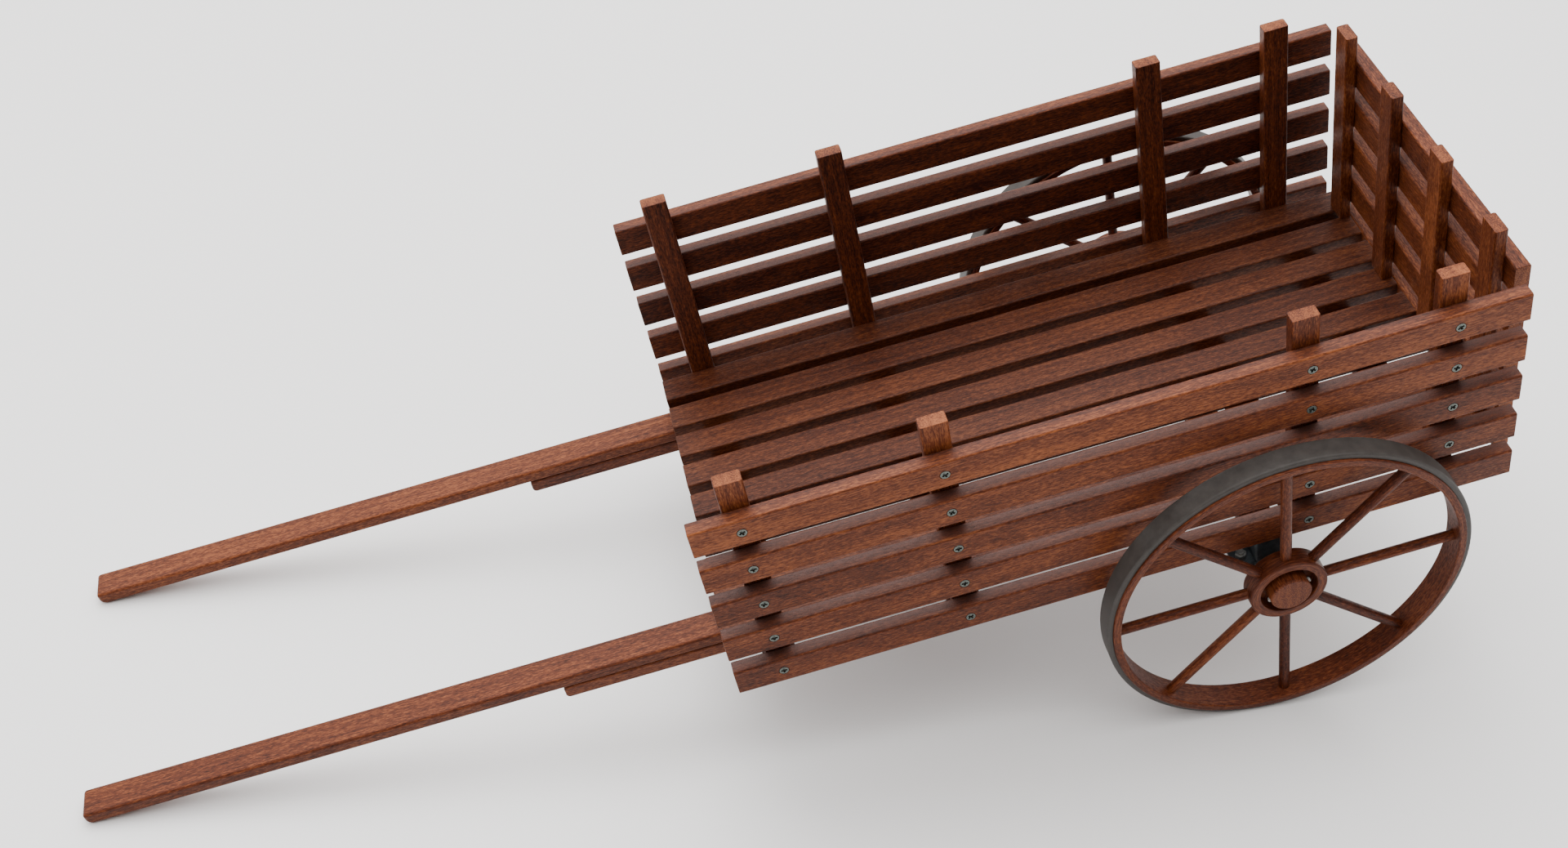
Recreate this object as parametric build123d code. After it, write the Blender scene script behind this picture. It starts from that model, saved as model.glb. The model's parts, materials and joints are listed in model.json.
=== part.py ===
from build123d import *
import math
import os

# Two-wheeled wooden hand cart: a slatted open bed on two long shafts, with one spoked wheel on each side.
# Millimetres. Every piece is drawn level in the bed's own frame: x runs from the open front end (0) to the
# tail, y from the right side (-) to the left side (+), and z is 0 at the underside of the lowest side slats.
# Right and left are those of someone who stands between the shafts and faces the bed.
# The whole cart is then tipped on to its wheels and shaft tips, with +Z up and the floor at z = 0.

# ---- driving sizes ----------------------------------------------------------------------------------------
bed_length = 1000.0
bed_half_width = 290.0        # centre line to the outer face of the side slats
batten_width = 42.0           # one planed section serves for slats, planks, shafts and bearers
batten_thickness = 20.0
edge_round = 3.0              # eased long edges of the bed's battens
end_round = 1.0               # eased ends of the bed's battens

# ---- slatted sides and tail -------------------------------------------------------------------------------
slats_per_side = 5
slat_pitch = 66.15
stake_width = 34.0
stake_thickness = 19.0
stake_rise = 42.3             # how far a stake stands above the top slat
side_stake_shares = (0.044, 0.2838, 0.7205, 0.8975)   # front faces, as shares of the bed's length
tail_stake_thickness = 16.3
tail_stake_inset = 39.8       # a tail slat's end to the middle of the outermost tail stake
tail_stakes = 4
tail_slat_inset = 25.0        # tail slats stop this far inside the side slats' inner faces

# ---- floor ------------------------------------------------------------------------------------------------
floor_planks = 9
rail_fit = 0.2                # cross rails between the shafts and stakes, at each end

# ---- shafts and the bearers under them --------------------------------------------------------------------
shaft_inset = 104.0           # outer face of the side slats to the centre line of a shaft
shaft_reach = 838.0           # how far a shaft runs forward of the bed
shaft_tail_inset = 10.0       # how far a shaft stops short of the tail
shaft_edge_round = 5.0
shaft_tip_round = 9.0
bearer_reach = 216.0
bearer_tail_inset = 60.0
bearer_toe_round = 6.0

# ---- wheels -----------------------------------------------------------------------------------------------
axle_share = 0.69365          # distance of the axle behind the bed's front, as a share of its length
wheel_gap = 33.0              # outer face of the side slats to the middle of a wheel
tyre_radius = 237.4
tyre_thickness = 7.6
tyre_width = 30.3
tyre_edge_round = 3.0
rim_thickness = 10.3
rim_width = 36.6
rim_edge_round = 2.0
rim_fit = 0.05                # tyre over rim, radial
hub_radius = 50.3
hub_width = 27.8
hub_edge_round = 3.0
hub_recess_radius = 37.0
hub_recess_depth = 18.6
spokes_per_wheel = 8
spoke_radius = 7.0
spoke_hub_seat = 8.0
spoke_rim_seat = 5.0
spoke_fit = 0.1               # spoke in its sockets, radial

# ---- axle -------------------------------------------------------------------------------------------------
axle_radius = 7.5
running_fit = 0.06            # bush on axle, radial
bush_wall = 4.5
bush_hub_fit = 0.05
axle_cap_radius = 26.6
axle_cap_proud = 7.7          # how far an axle cap stands out of the hub's face
axle_cap_round = 3.0
axle_cap_gap = 0.6            # thrust gap between an axle cap and the floor of the hub's recess
axle_end_cover = 6.0          # wood left between the axle's end and the cap's face
linch_pin_radius = 3.2
linch_pin_length = 59.0
linch_pin_round = 1.44
linch_pin_turn = 20.0         # degrees from the bed's length
linch_pin_depth = 2.6         # centre of the pin behind the hub's face
pin_fit = 0.05

# ---- bolster and axle brackets ----------------------------------------------------------------------------
bracket_reach = 35.0          # from the stakes' inner faces outwards
bracket_half_width = 24.0
bracket_ridge_round = 8.0
bracket_corner_round = 4.0
bracket_fit = 0.05            # axle in bracket, radial
bracket_lug_length = 27.0
bracket_lug_thickness = 5.0
bracket_cheek = 5.0
bush_gap = 0.6                # thrust gap between a bush and its bracket
axle_seat_gap = 0.3           # axle under the bolster
bolt_radius = 4.0
bolt_fit = 0.1
bolt_grip = 18.0
bolt_head_height = 4.55
bolt_end_length = 2.8         # how far a bolt stands out of its nut
bolt_share = 0.55             # place of a bolt between the back and the outer face of its bracket
nut_across_flats = 13.0
nut_height = 6.5

# ---- screws -----------------------------------------------------------------------------------------------
screw_radius = 2.6
screw_head_radius = 6.2
screw_head_depth = 3.6
screw_length = 34.0
screw_fit = 0.15
bearer_screw_shares = (-0.15, 0.13, 0.43, 0.62, 0.85)  # of the bed's length, behind its front end
bearer_screw_offset = 8.0     # outwards from a bearer's centre line
bolster_screw_offset = 13.8   # ahead of and behind the axle
recess_width = 1.6
recess_span = 6.4
recess_depth = 1.8

# ---- worked out from the sizes above ----------------------------------------------------------------------
slat_inner_face = bed_half_width - batten_thickness
stake_inner_face = slat_inner_face - stake_thickness
side_stake_starts = [share * bed_length for share in side_stake_shares]
slat_bottoms = [level * slat_pitch for level in range(slats_per_side)]
stake_top = slat_bottoms[-1] + batten_width + stake_rise

floor_top = batten_width
floor_bottom = floor_top - batten_thickness
plank_pitch = (2 * stake_inner_face - batten_width) / (floor_planks - 1)
plank_centres = [plank_pitch * (index - (floor_planks - 1) / 2) for index in range(floor_planks)]

shaft_offset = bed_half_width - shaft_inset
shaft_top = floor_bottom
shaft_bottom = shaft_top - batten_thickness
shaft_inner_face = shaft_offset - batten_width / 2
shaft_outer_face = shaft_offset + batten_width / 2
bearer_bottom = shaft_bottom - batten_thickness
bearer_screw_places = [share * bed_length for share in bearer_screw_shares]
bolster_bottom = bearer_bottom - batten_thickness
shaft_length = shaft_reach + bed_length - shaft_tail_inset
bearer_length = bearer_reach + bed_length - bearer_tail_inset

tail_stake_start = bed_length - tail_stake_thickness
tail_slat_half = slat_inner_face - tail_slat_inset
tail_stake_pitch = 2 * (tail_slat_half - tail_stake_inset) / (tail_stakes - 1)
tail_stake_centres = [tail_stake_pitch * (index - (tail_stakes - 1) / 2) for index in range(tail_stakes)]

axle_place = axle_share * bed_length
axle_height = bolster_bottom - axle_seat_gap - axle_radius
rim_radius = tyre_radius - tyre_thickness
rim_inner_radius = rim_radius - rim_thickness
wheel_offset = bed_half_width + wheel_gap
hub_face = wheel_offset + hub_width / 2
hub_back = wheel_offset - hub_width / 2
hub_recess_floor = hub_face - hub_recess_depth
axle_cap_face = hub_face + axle_cap_proud
axle_cap_back = hub_recess_floor + axle_cap_gap
axle_half_length = axle_cap_face - axle_end_cover
linch_pin_place = hub_face - linch_pin_depth
bracket_face = stake_inner_face + bracket_reach
bush_inner_end = bracket_face + bush_gap
bush_radius = axle_radius + running_fit + bush_wall
lug_top = bolster_bottom
bolt_place = (axle_place - bracket_half_width - bracket_lug_length / 2,
              stake_inner_face + bracket_reach * bolt_share)

ease = 0.02                   # added length that lets a cutting tool break cleanly through a face


# ---- stock pieces -----------------------------------------------------------------------------------------
def block(x_span, y_span, z_span):
    """A plain box between three pairs of limits."""
    lengths = [span[1] - span[0] for span in (x_span, y_span, z_span)]
    corner = (x_span[0], y_span[0], z_span[0])
    return Pos(*corner) * Box(*lengths, align=(Align.MIN, Align.MIN, Align.MIN))


def batten(x_span, y_span, z_span, along, long_round, short_round):
    """A planed batten: its long edges are rounded, and the edges round its two ends are eased."""
    solid = block(x_span, y_span, z_span)
    solid = fillet(solid.edges().filter_by(along), long_round)
    ends = solid.faces().filter_by(lambda face: abs(face.normal_at().dot(along.direction)) > 0.99)
    return fillet(ends.edges(), short_round)


def disc(radius, y_low, y_high):
    """A round piece whose axis runs along Y through the origin."""
    height = y_high - y_low
    return Pos(0, (y_low + y_high) / 2, 0) * Rot(90, 0, 0) * Cylinder(radius, height)


def at_axle(solid):
    """Move a piece drawn about the origin out to the axle's place under the bed."""
    return Pos(axle_place, 0, axle_height) * solid


def other_side(solid):
    """The matching piece on the other side of the cart."""
    return mirror(solid, about=Plane.XZ)


# ---- screws -----------------------------------------------------------------------------------------------
def screw_shape(margin):
    """A countersunk wood screw, its head's face at the origin and its point towards -Z."""
    shank = Pos(0, 0, -screw_length / 2) * Cylinder(screw_radius + margin, screw_length + 2 * margin)
    head_span = screw_head_depth + margin
    head = Pos(0, 0, -head_span / 2) * Cone(screw_radius + margin, screw_head_radius + margin, head_span)
    return shank + head


def cross_recess_screw():
    """The same screw with a cross recess in its head."""
    slot = Box(recess_span, recess_width, 2 * recess_depth)
    return screw_shape(0.0) - slot - Rot(0, 0, 90) * slot


screw = cross_recess_screw()
screw_hole = screw_shape(screw_fit)
facing_right = Rot(90, 0, 0)      # turns the head towards -Y
facing_tail = Rot(0, 90, 0)       # turns the head towards +X
facing_down = Rot(180, 0, 0)      # turns the head towards -Z

slat_middles = [bottom + batten_width / 2 for bottom in slat_bottoms]
side_stake_middles = [start + stake_width / 2 for start in side_stake_starts]


def side_screw_place(stake_middle, slat_middle):
    return Pos(stake_middle, -bed_half_width, slat_middle) * facing_right


def tail_screw_place(middle, height):
    return Pos(bed_length + batten_thickness, middle, height) * facing_tail


def floor_screw_place(x, plank_middle):
    return Pos(x, plank_middle, shaft_bottom) * facing_down


def bearer_screw_place(x):
    return Pos(x, -shaft_offset - bearer_screw_offset, bearer_bottom) * facing_down


def bolster_screw_place(direction):
    return Pos(axle_place + direction * bolster_screw_offset, -shaft_offset, bolster_bottom) * facing_down


def within_reach(places, y_low, y_high):
    """The places whose screws reach a piece that lies between two distances across the cart."""
    reach = screw_head_radius + screw_fit
    return [place for place in places if y_low - reach < place.position.Y < y_high + reach]


def drilled(solid, places):
    """The solid with a countersunk hole at each place."""
    return solid - [place * screw_hole for place in places]


tail_slat_places = [[tail_screw_place(middle, (floor_bottom + floor_top) / 2) for middle in plank_centres]]
for slat_middle in slat_middles[1:]:
    tail_slat_places.append([tail_screw_place(middle, slat_middle) for middle in tail_stake_centres])
rail_screw_places = [floor_screw_place(x, middle) for x in side_stake_middles for middle in plank_centres]


# ---- the bed ----------------------------------------------------------------------------------------------
def side_slat(level):
    """One lengthwise batten of the right side, drilled for a screw at each stake."""
    bottom = slat_bottoms[level]
    y_span = (-bed_half_width, -slat_inner_face)
    z_span = (bottom, bottom + batten_width)
    slat = batten((0, bed_length), y_span, z_span, Axis.X, edge_round, end_round)
    return drilled(slat, [side_screw_place(middle, slat_middles[level]) for middle in side_stake_middles])


def side_stake(index):
    """One upright of the right side, standing inside the slats and against the floor's edge."""
    start = side_stake_starts[index]
    y_span = (-slat_inner_face, -stake_inner_face)
    stake = batten((start, start + stake_width), y_span, (0, stake_top), Axis.Z, edge_round, end_round)
    return drilled(stake, [side_screw_place(side_stake_middles[index], height) for height in slat_middles])


def tail_slat(level):
    """One crosswise batten of the closed tail. The lowest one is screwed to the planks' ends."""
    bottom = slat_bottoms[level]
    x_span = (bed_length, bed_length + batten_thickness)
    z_span = (bottom, bottom + batten_width)
    slat = batten(x_span, (-tail_slat_half, tail_slat_half), z_span, Axis.Y, edge_round, end_round)
    return drilled(slat, tail_slat_places[level])


def tail_stake(index):
    """One upright of the tail, standing on the ends of the floor planks."""
    middle = tail_stake_centres[index]
    x_span = (tail_stake_start, bed_length)
    y_span = (middle - stake_width / 2, middle + stake_width / 2)
    stake = batten(x_span, y_span, (floor_top, stake_top), Axis.Z, edge_round, end_round)
    return drilled(stake, [tail_screw_place(middle, height) for height in slat_middles[1:]])


def floor_plank(index):
    """One lengthwise floor batten, screwed from below and, at its end, through the lowest tail slat."""
    middle = plank_centres[index]
    y_span = (middle - batten_width / 2, middle + batten_width / 2)
    plank = batten((0, bed_length), y_span, (floor_bottom, floor_top), Axis.X, edge_round, end_round)
    from_below = [floor_screw_place(x, middle) for x in side_stake_middles]
    return drilled(plank, from_below + [tail_slat_places[0][index]])


# ---- under the bed ----------------------------------------------------------------------------------------
def cross_rail(stake_middle, y_low, y_high):
    """A short crosswise batten at the shafts' level that carries the planks between them."""
    x_span = (stake_middle - batten_width / 2, stake_middle + batten_width / 2)
    rail = batten(x_span, (y_low, y_high), (shaft_bottom, shaft_top), Axis.Y, edge_round, end_round)
    places = [floor_screw_place(stake_middle, middle) for middle in plank_centres]
    return drilled(rail, within_reach(places, y_low, y_high))


def middle_rails():
    half_length = shaft_inner_face - rail_fit
    return [cross_rail(middle, -half_length, half_length) for middle in side_stake_middles]


def outer_rails():
    return [cross_rail(middle, -stake_inner_face + rail_fit, -shaft_outer_face - rail_fit)
            for middle in side_stake_middles]


def long_runner(start, length, z_span, long_round, toe_round):
    """A long batten on the right shaft's line, with its front lower corner rounded."""
    solid = block((start, start + length), (-shaft_outer_face, -shaft_inner_face), z_span)
    lower_front = solid.edges().filter_by(Axis.Y).group_by(Axis.X)[0].sort_by(Axis.Z)[0]
    solid = fillet(lower_front, toe_round)
    return fillet(solid.edges().filter_by(Axis.X), long_round)


def shaft():
    """One long shaft, from the tip that rests on the ground back under the floor."""
    z_span = (shaft_bottom, shaft_top)
    solid = long_runner(-shaft_reach, shaft_length, z_span, shaft_edge_round, shaft_tip_round)
    into_plank = within_reach(rail_screw_places, -shaft_outer_face, -shaft_inner_face)
    into_bearer = [bearer_screw_place(x) for x in bearer_screw_places]
    return drilled(solid, into_plank + into_bearer)


def shaft_bearer():
    """The shorter batten that doubles a shaft from below."""
    z_span = (bearer_bottom, shaft_bottom)
    solid = long_runner(-bearer_reach, bearer_length, z_span, edge_round, bearer_toe_round)
    from_bolster = [bolster_screw_place(direction) for direction in (-1, 1)]
    return drilled(solid, from_bolster + [bearer_screw_place(x) for x in bearer_screw_places])


def axle_bolster():
    """The cross-beam that the axle lies under."""
    x_span = (axle_place - batten_width / 2, axle_place + batten_width / 2)
    y_span = (-stake_inner_face, stake_inner_face)
    beam = batten(x_span, y_span, (bolster_bottom, bearer_bottom), Axis.Y, edge_round, end_round)
    holes = [bolster_screw_place(direction) * screw_hole for direction in (-1, 1)]
    return beam - holes - [other_side(hole) for hole in holes]


# ---- axle, brackets and their small parts -----------------------------------------------------------------
def axle_rod():
    """The round iron axle, with a cross hole near each end for a linch pin."""
    rod = at_axle(disc(axle_radius, -axle_half_length, axle_half_length))
    hole = linch_pin_shape(pin_fit)
    return rod - hole - other_side(hole)


def linch_pin_shape(margin):
    """The cross pin of the right wheel, as the pin itself or as its hole."""
    pin = Rot(0, 90, 0) * Cylinder(linch_pin_radius + margin, linch_pin_length + 2 * margin)
    return at_axle(Pos(0, -linch_pin_place, 0) * Rot(0, -linch_pin_turn, 0) * pin)


def linch_pin():
    pin = linch_pin_shape(0.0)
    return fillet(pin.edges().filter_by(GeomType.CIRCLE), linch_pin_round)


def axle_cap():
    """The turned wooden cap on the axle's end, which keeps the wheel on."""
    cap = disc(axle_cap_radius, -axle_cap_face, -axle_cap_back)
    face_edge = cap.edges().filter_by(GeomType.CIRCLE).sort_by(Axis.Y)[0]
    cap = fillet(face_edge, axle_cap_round)
    socket = disc(axle_radius + pin_fit, -axle_half_length - pin_fit, -axle_cap_back + ease)
    return at_axle(cap - socket) - linch_pin_shape(pin_fit)


def axle_bracket():
    """The iron saddle that hangs the axle under the right side, with a bolted lug ahead of it."""
    left = axle_place - bracket_half_width
    right = axle_place + bracket_half_width
    y_span = (-bracket_face, -stake_inner_face)
    body = block((left, right), y_span, (axle_height, 0))
    ridge = body.edges().filter_by(Axis.Y).group_by(Axis.X)[0].sort_by(Axis.Z)[-1]
    body = fillet(ridge, bracket_ridge_round)
    front_corner = body.edges().filter_by(Axis.Z).group_by(Axis.X)[0].sort_by(Axis.Y)[0]
    body = fillet(front_corner, bracket_corner_round)
    round_end = at_axle(disc(bracket_half_width, -bracket_face, -stake_inner_face))
    lug = block((left - bracket_lug_length, left + bracket_lug_thickness), y_span,
                (lug_top - bracket_lug_thickness, lug_top))
    cheek = block((left - bracket_lug_length, left + bracket_cheek),
                  (-stake_inner_face - bracket_cheek, -stake_inner_face), (lug_top, 0))
    bore = at_axle(disc(axle_radius + bracket_fit, -bracket_face - ease, -stake_inner_face + ease))
    bolt_hole = Pos(bolt_place[0], -bolt_place[1], lug_top) * Cylinder(bolt_radius + bolt_fit, bolt_grip)
    return body + round_end + lug + cheek - bore - bolt_hole


def bracket_bolt():
    """Lug bolt: a round head under the lug and a hexagon nut drawn down on it."""
    lug_bottom = lug_top - bracket_lug_thickness
    shank_low = lug_bottom - bolt_head_height
    shank_high = lug_top + nut_height + bolt_end_length
    x, y = bolt_place[0], -bolt_place[1]
    shank = Pos(x, y, (shank_low + shank_high) / 2) * Cylinder(bolt_radius, shank_high - shank_low)
    head = Pos(x, y, lug_bottom - bolt_head_height / 2) * Cylinder(nut_across_flats / 2, bolt_head_height)
    hexagon = RegularPolygon(nut_across_flats / 2, 6, major_radius=False)
    nut = Pos(x, y, lug_top) * extrude(hexagon, nut_height)
    return shank + head + nut


# ---- wheel ------------------------------------------------------------------------------------------------
def ring_between(outer_radius, inner_radius, width, outer_round, inner_round):
    """A turned ring centred on the right wheel's middle plane."""
    y_low = -wheel_offset - width / 2
    y_high = -wheel_offset + width / 2
    body = disc(outer_radius, y_low, y_high)
    body = fillet(body.edges().filter_by(GeomType.CIRCLE), outer_round)
    bore = disc(inner_radius, y_low - ease, y_high + ease)
    body = body - bore
    inner_edges = body.edges().filter_by(lambda edge: edge.geom_type == GeomType.CIRCLE
                                         and abs(edge.radius - inner_radius) < ease)
    return fillet(inner_edges, inner_round)


def spoke_blank(margin):
    """A spoke along +X, long enough to seat in the hub and in the rim."""
    inner = hub_radius - spoke_hub_seat - margin
    outer = rim_inner_radius + spoke_rim_seat + margin
    rod = Rot(0, 90, 0) * Cylinder(spoke_radius + margin, outer - inner)
    return Pos((inner + outer) / 2, -wheel_offset, 0) * rod


def spoke_set(margin):
    step = 360 / spokes_per_wheel
    return [Rot(0, step * index, 0) * spoke_blank(margin) for index in range(spokes_per_wheel)]


def wheel_tyre():
    inner = rim_radius + rim_fit
    return at_axle(ring_between(tyre_radius, inner, tyre_width, tyre_edge_round, end_round))


def wheel_rim():
    rim = ring_between(rim_radius, rim_inner_radius, rim_width, rim_edge_round, rim_edge_round)
    return at_axle(rim - spoke_set(spoke_fit))


def wheel_hub():
    hub = disc(hub_radius, -hub_face, -hub_back)
    hub = fillet(hub.edges().filter_by(GeomType.CIRCLE), hub_edge_round)
    recess = disc(hub_recess_radius, -hub_face - ease, -hub_recess_floor)
    bore = disc(bush_radius + bush_hub_fit, -hub_face, -hub_back + ease)
    return at_axle(hub - recess - bore - spoke_set(spoke_fit))


def wheel_bush():
    """The iron sleeve in the hub that runs on the axle."""
    sleeve = disc(bush_radius, -hub_recess_floor, -bush_inner_end)
    bore = disc(axle_radius + running_fit, -hub_recess_floor - ease, -bush_inner_end + ease)
    return at_axle(sleeve - bore)


def wheel_spokes():
    return [at_axle(spoke) for spoke in spoke_set(0.0)]


# ---- the whole cart, in the bed's frame -------------------------------------------------------------------
def right_side():
    """Every node of the right half that has a twin on the left."""
    pieces = {f"side_slat_{level + 1}": [side_slat(level)] for level in range(slats_per_side)}
    for index in range(len(side_stake_starts)):
        pieces[f"side_stake_{index + 1}"] = [side_stake(index)]
    pieces["shaft"] = [shaft()]
    pieces["shaft_bearer"] = [shaft_bearer()]
    pieces["axle_bracket"] = [axle_bracket()]
    pieces["axle_cap"] = [axle_cap()]
    pieces["wheel_tyre"] = [wheel_tyre()]
    pieces["wheel_rim"] = [wheel_rim()]
    pieces["wheel_hub"] = [wheel_hub()]
    pieces["wheel_bush"] = [wheel_bush()]
    pieces["wheel_spokes"] = wheel_spokes()
    return pieces


def middle_pieces():
    """The nodes that lie across the middle, and those that hold like pieces of both sides."""
    pieces = {f"floor_plank_{index + 1}": [floor_plank(index)] for index in range(floor_planks)}
    for level in range(slats_per_side):
        pieces[f"tail_slat_{level + 1}"] = [tail_slat(level)]
    pieces["tail_stakes"] = [tail_stake(index) for index in range(tail_stakes)]
    pieces["axle_bolster"] = [axle_bolster()]
    pieces["axle_rod"] = [axle_rod()]
    pieces["cross_rails"] = middle_rails()
    pieces["outer_rails"] = on_both_sides(outer_rails())
    pieces["bracket_bolts"] = on_both_sides([bracket_bolt()])
    pieces["linch_pins"] = on_both_sides([linch_pin()])
    pieces["bed_screws"] = bed_screws()
    return pieces


def on_both_sides(solids):
    return solids + [other_side(solid) for solid in solids]


def bed_screws():
    """All the screws, which are alike: sides, tail, floor, bearers and bolster."""
    twins = [side_screw_place(stake, slat) for stake in side_stake_middles for slat in slat_middles]
    twins += [bearer_screw_place(x) for x in bearer_screw_places]
    twins += [bolster_screw_place(direction) for direction in (-1, 1)]
    single = rail_screw_places + [place for places in tail_slat_places for place in places]
    return on_both_sides([place * screw for place in twins]) + [place * screw for place in single]


def level_cart():
    cart = middle_pieces()
    for name, solids in right_side().items():
        cart[f"right_{name}"] = solids
        cart[f"left_{name}"] = [other_side(solid) for solid in solids]
    return cart


# ---- standing on the floor --------------------------------------------------------------------------------
def standing_tilt():
    """Degrees that the bed slopes down to the front when wheels and shaft tips share one floor."""
    run = axle_place + shaft_reach - shaft_tip_round
    rise = axle_height - (shaft_bottom + shaft_tip_round)
    drop = tyre_radius - shaft_tip_round
    return math.degrees(math.asin(drop / math.hypot(run, rise)) - math.atan2(rise, run))


def stand_up(cart):
    """Tip the cart on to its shaft tips, with the origin at the bottom centre of its bounding box."""
    slope = Rot(0, -standing_tilt(), 0)
    tipped = {name: [slope * solid for solid in solids] for name, solids in cart.items()}
    box = Compound([solid for solids in tipped.values() for solid in solids]).bounding_box()
    shift = Pos(-(box.min.X + box.max.X) / 2, 0, -box.min.Z)
    return {name: [shift * solid for solid in solids] for name, solids in tipped.items()}


def write_parts(cart):
    os.makedirs("parts", exist_ok=True)
    for name, solids in cart.items():
        loose = [part for solid in solids for part in solid.solids()]
        whole = solids[0] if len(solids) == 1 else Compound(loose)
        export_step(whole, f"parts/{name}.step")


write_parts(stand_up(level_cart()))
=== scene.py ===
import json
import math
import random

import bmesh
import bpy
from mathutils import Matrix, Vector


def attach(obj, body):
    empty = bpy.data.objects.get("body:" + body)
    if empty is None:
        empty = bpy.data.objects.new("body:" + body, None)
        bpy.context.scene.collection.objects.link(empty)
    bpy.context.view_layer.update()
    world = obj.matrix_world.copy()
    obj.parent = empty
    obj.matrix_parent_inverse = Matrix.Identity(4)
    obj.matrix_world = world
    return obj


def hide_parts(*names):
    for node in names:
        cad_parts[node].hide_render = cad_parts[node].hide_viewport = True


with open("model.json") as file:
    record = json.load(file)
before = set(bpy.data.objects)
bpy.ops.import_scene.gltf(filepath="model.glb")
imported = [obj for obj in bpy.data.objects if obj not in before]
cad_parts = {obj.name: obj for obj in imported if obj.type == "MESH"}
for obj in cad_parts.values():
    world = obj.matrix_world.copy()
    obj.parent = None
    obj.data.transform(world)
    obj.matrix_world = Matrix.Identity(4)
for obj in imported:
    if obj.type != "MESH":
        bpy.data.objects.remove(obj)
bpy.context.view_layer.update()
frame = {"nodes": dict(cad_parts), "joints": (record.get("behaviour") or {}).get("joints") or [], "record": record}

bl_info = {
    "name": "Wooden hand cart",
    "version": (1, 0, 0),
    "blender": (4, 5, 0),
    "location": "3D View > Sidebar > Hand cart",
    "description": "Boards, wheels, ironwork and finish of a slatted two-wheeled hand cart",
    "category": "Object",
}

MM = 0.001

# ---- small shapes that stay the same whatever a user changes ----------------------------------------------
END_GRAIN = 0.09                  # how much paler the sawn ends are
BEARER_TOE = 6.0 * MM
TYRE_ROUND = 3.4 * MM
TYRE_INNER_ROUND = 0.6 * MM
RIM_ROUND = 1.6 * MM
RIM_INNER_ROUND = 2.2 * MM
RIM_WALL = 10.3 * MM
HUB_RECESS_RADIUS = 37.0 * MM
HUB_RECESS_DEPTH = 18.6 * MM
HUB_MOUTH_ROUND = 1.6 * MM
SCREW_LENGTH = 34.0 * MM
SCREW_HEAD_DEPTH = 3.6 * MM
SCREW_SHANK = 2.6 * MM
SCREW_RIM_ROUND = 0.5 * MM
CROSS_DEPTH = 2.6 * MM
CROSS_REACH = 4.0 * MM            # from the screw's middle to the end of each arm
CROSS_HALF_WIDTH = 1.3 * MM
SOCKET_ROOT = 1.2 * MM            # the cross's round middle, at its bottom and at its mouth
SOCKET_MOUTH = 2.6 * MM

# ---- the frame: which way the bed slopes, and where the wheels turn ---------------------------------------
SIDES = ("right", "left")
FLOOR_AXIS = Vector(next(m["axis"] for m in frame["record"]["mounts"] if m["name"] == "load_floor"))
BED_TILT = math.atan2(-FLOOR_AXIS.x, FLOOR_AXIS.z)
FROM_BED = Matrix.Rotation(-BED_TILT, 4, "Y")     # from the bed's axes to the shared frame's
TO_BED = FROM_BED.inverted()
AXLE_POINT = Vector(next(j["pos_m"] for j in frame["joints"] if j["name"] == "right_wheel_turn"))
AXLE = TO_BED @ Vector((AXLE_POINT.x, 0.0, AXLE_POINT.z))
SLOT_OF = {entry["node"]: entry["material_slot"] for entry in frame["record"]["subparts"]}
BODY_OF = {node: body for body, nodes in frame["record"]["behaviour"]["bodies"].items() for node in nodes}


def linear(hex_colour):
    """An sRGB hex colour as linear red, green and blue."""
    channels = [int(hex_colour[i:i + 2], 16) / 255 for i in (1, 3, 5)]
    return tuple(c / 12.92 if c <= 0.04045 else ((c + 0.055) / 1.055) ** 2.4 for c in channels)


def span_of(points):
    """The lowest and highest corners of some points."""
    low = Vector(min(p[i] for p in points) for i in range(3))
    high = Vector(max(p[i] for p in points) for i in range(3))
    return low, high


def bed_span(node):
    """A node's lowest and highest corners along the bed's own axes."""
    return span_of([TO_BED @ v.co for v in frame["nodes"][node].data.vertices])


def loose_parts(node):
    """The vertices of each separate solid in a node, along the bed's own axes."""
    shape = bmesh.new()
    shape.from_mesh(frame["nodes"][node].data)
    bmesh.ops.remove_doubles(shape, verts=shape.verts, dist=0.001 * MM)
    seen = set()
    parts = []
    for start in shape.verts:
        if start.index in seen:
            continue
        seen.add(start.index)
        group = [start]
        for vertex in group:
            for edge in vertex.link_edges:
                other = edge.other_vert(vertex)
                if other.index not in seen:
                    seen.add(other.index)
                    group.append(other)
        parts.append([TO_BED @ v.co for v in group])
    shape.free()
    return sorted(parts, key=lambda part: tuple(round(c, 4) for c in span_of(part)[0]))


# ---- what a user may change -------------------------------------------------------------------------------
class CartSizes(bpy.types.PropertyGroup):
    board_edge: bpy.props.FloatProperty(
        name="Board edge", description="Rounding of the long edges of slats, stakes and planks",
        default=2.8 * MM, unit="LENGTH")
    board_end: bpy.props.FloatProperty(
        name="Board end", description="Easing round the sawn ends of every board",
        default=1.2 * MM, unit="LENGTH")
    shaft_edge: bpy.props.FloatProperty(
        name="Shaft edge", description="Rounding of the shafts' long edges, where hands hold them",
        default=4.6 * MM, unit="LENGTH")
    shaft_tip: bpy.props.FloatProperty(
        name="Shaft tip", description="Rounding under the shafts' tips, where they rest on the ground",
        default=9.0 * MM, unit="LENGTH")
    shaft_nose: bpy.props.FloatProperty(
        name="Shaft nose", description="Rounding over the shafts' and bearers' front ends",
        default=5.0 * MM, unit="LENGTH")
    turned_edge: bpy.props.FloatProperty(
        name="Turned edge", description="Rounding of the hubs and of the axle caps",
        default=2.8 * MM, unit="LENGTH")
    screw_shadow: bpy.props.FloatProperty(
        name="Screw shadow", description="Dark gap between a screw's head and its countersink",
        default=0.9 * MM, unit="LENGTH")


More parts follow.
